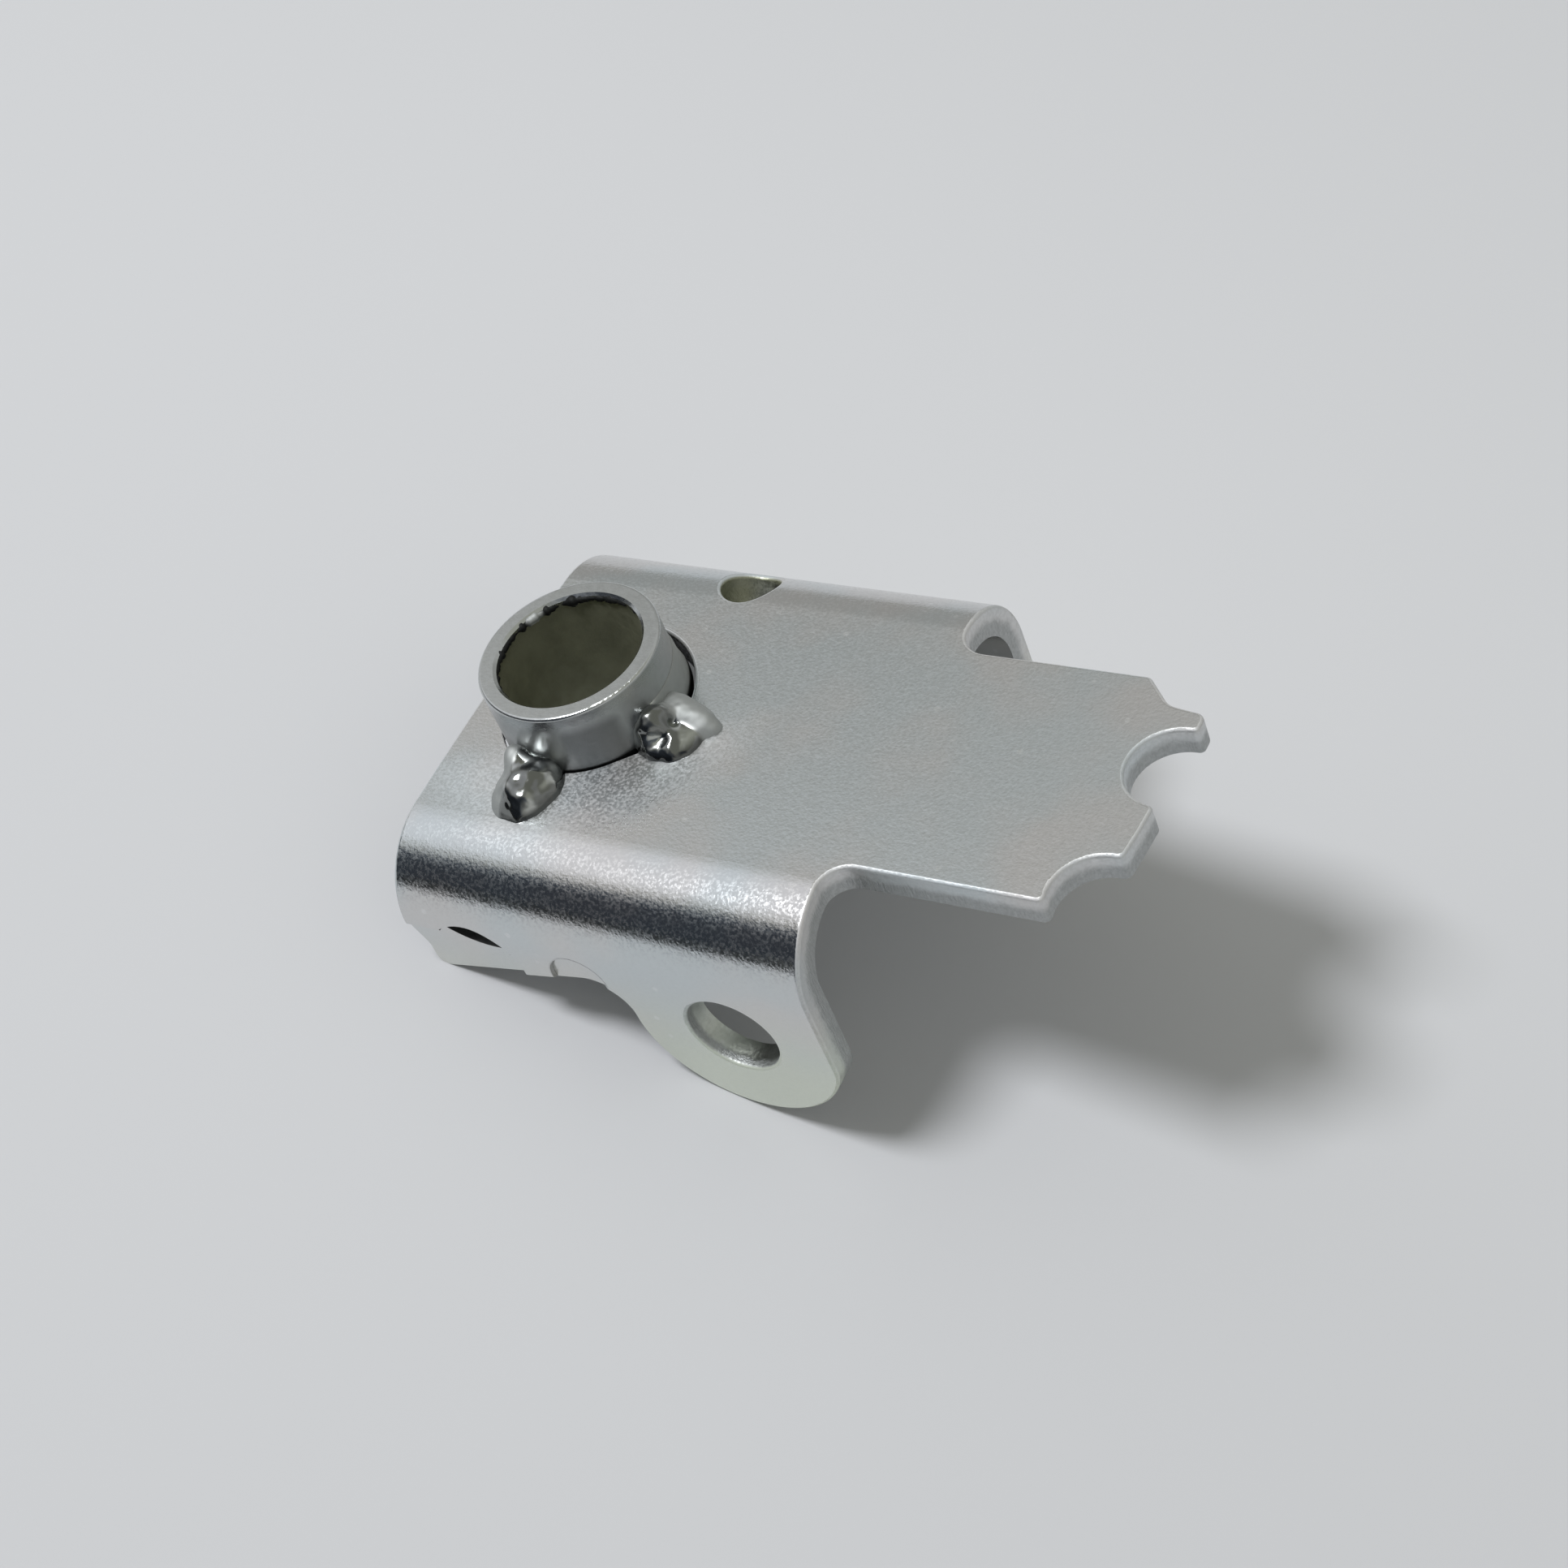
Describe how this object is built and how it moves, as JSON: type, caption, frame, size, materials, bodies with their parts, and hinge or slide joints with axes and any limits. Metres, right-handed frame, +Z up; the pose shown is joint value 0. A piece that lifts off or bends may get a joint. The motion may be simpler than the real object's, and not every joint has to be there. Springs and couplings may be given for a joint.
{
  "type": "gear shift bracket",
  "caption": "Folded steel channel with two pivot ears, a toothed detent sector and a short tube welded through its top, for a gear shift lever.",
  "frame": {"origin": "on the pivot axis, midway between the two ears", "axes": "+X to the toothed end, +Y along the pivot axis to the back, +Z up, with the part lying as it rests on a table"},
  "size_m": [0.0753, 0.0518, 0.0414],
  "materials": {
    "plated_sheet": "bright zinc plate over stamped sheet steel, fine sparkling grain",
    "plated_tube": "bright zinc plate over drawn steel tube",
    "weld_metal": "plated weld bead, smooth and glossy with small facets"
  },
  "bodies": {
    "root": {"bracket_plate": "plated_sheet", "tube": "plated_tube", "weld_front": "weld_metal", "weld_right": "weld_metal", "weld_back": "weld_metal"}
  },
  "joints": []
}
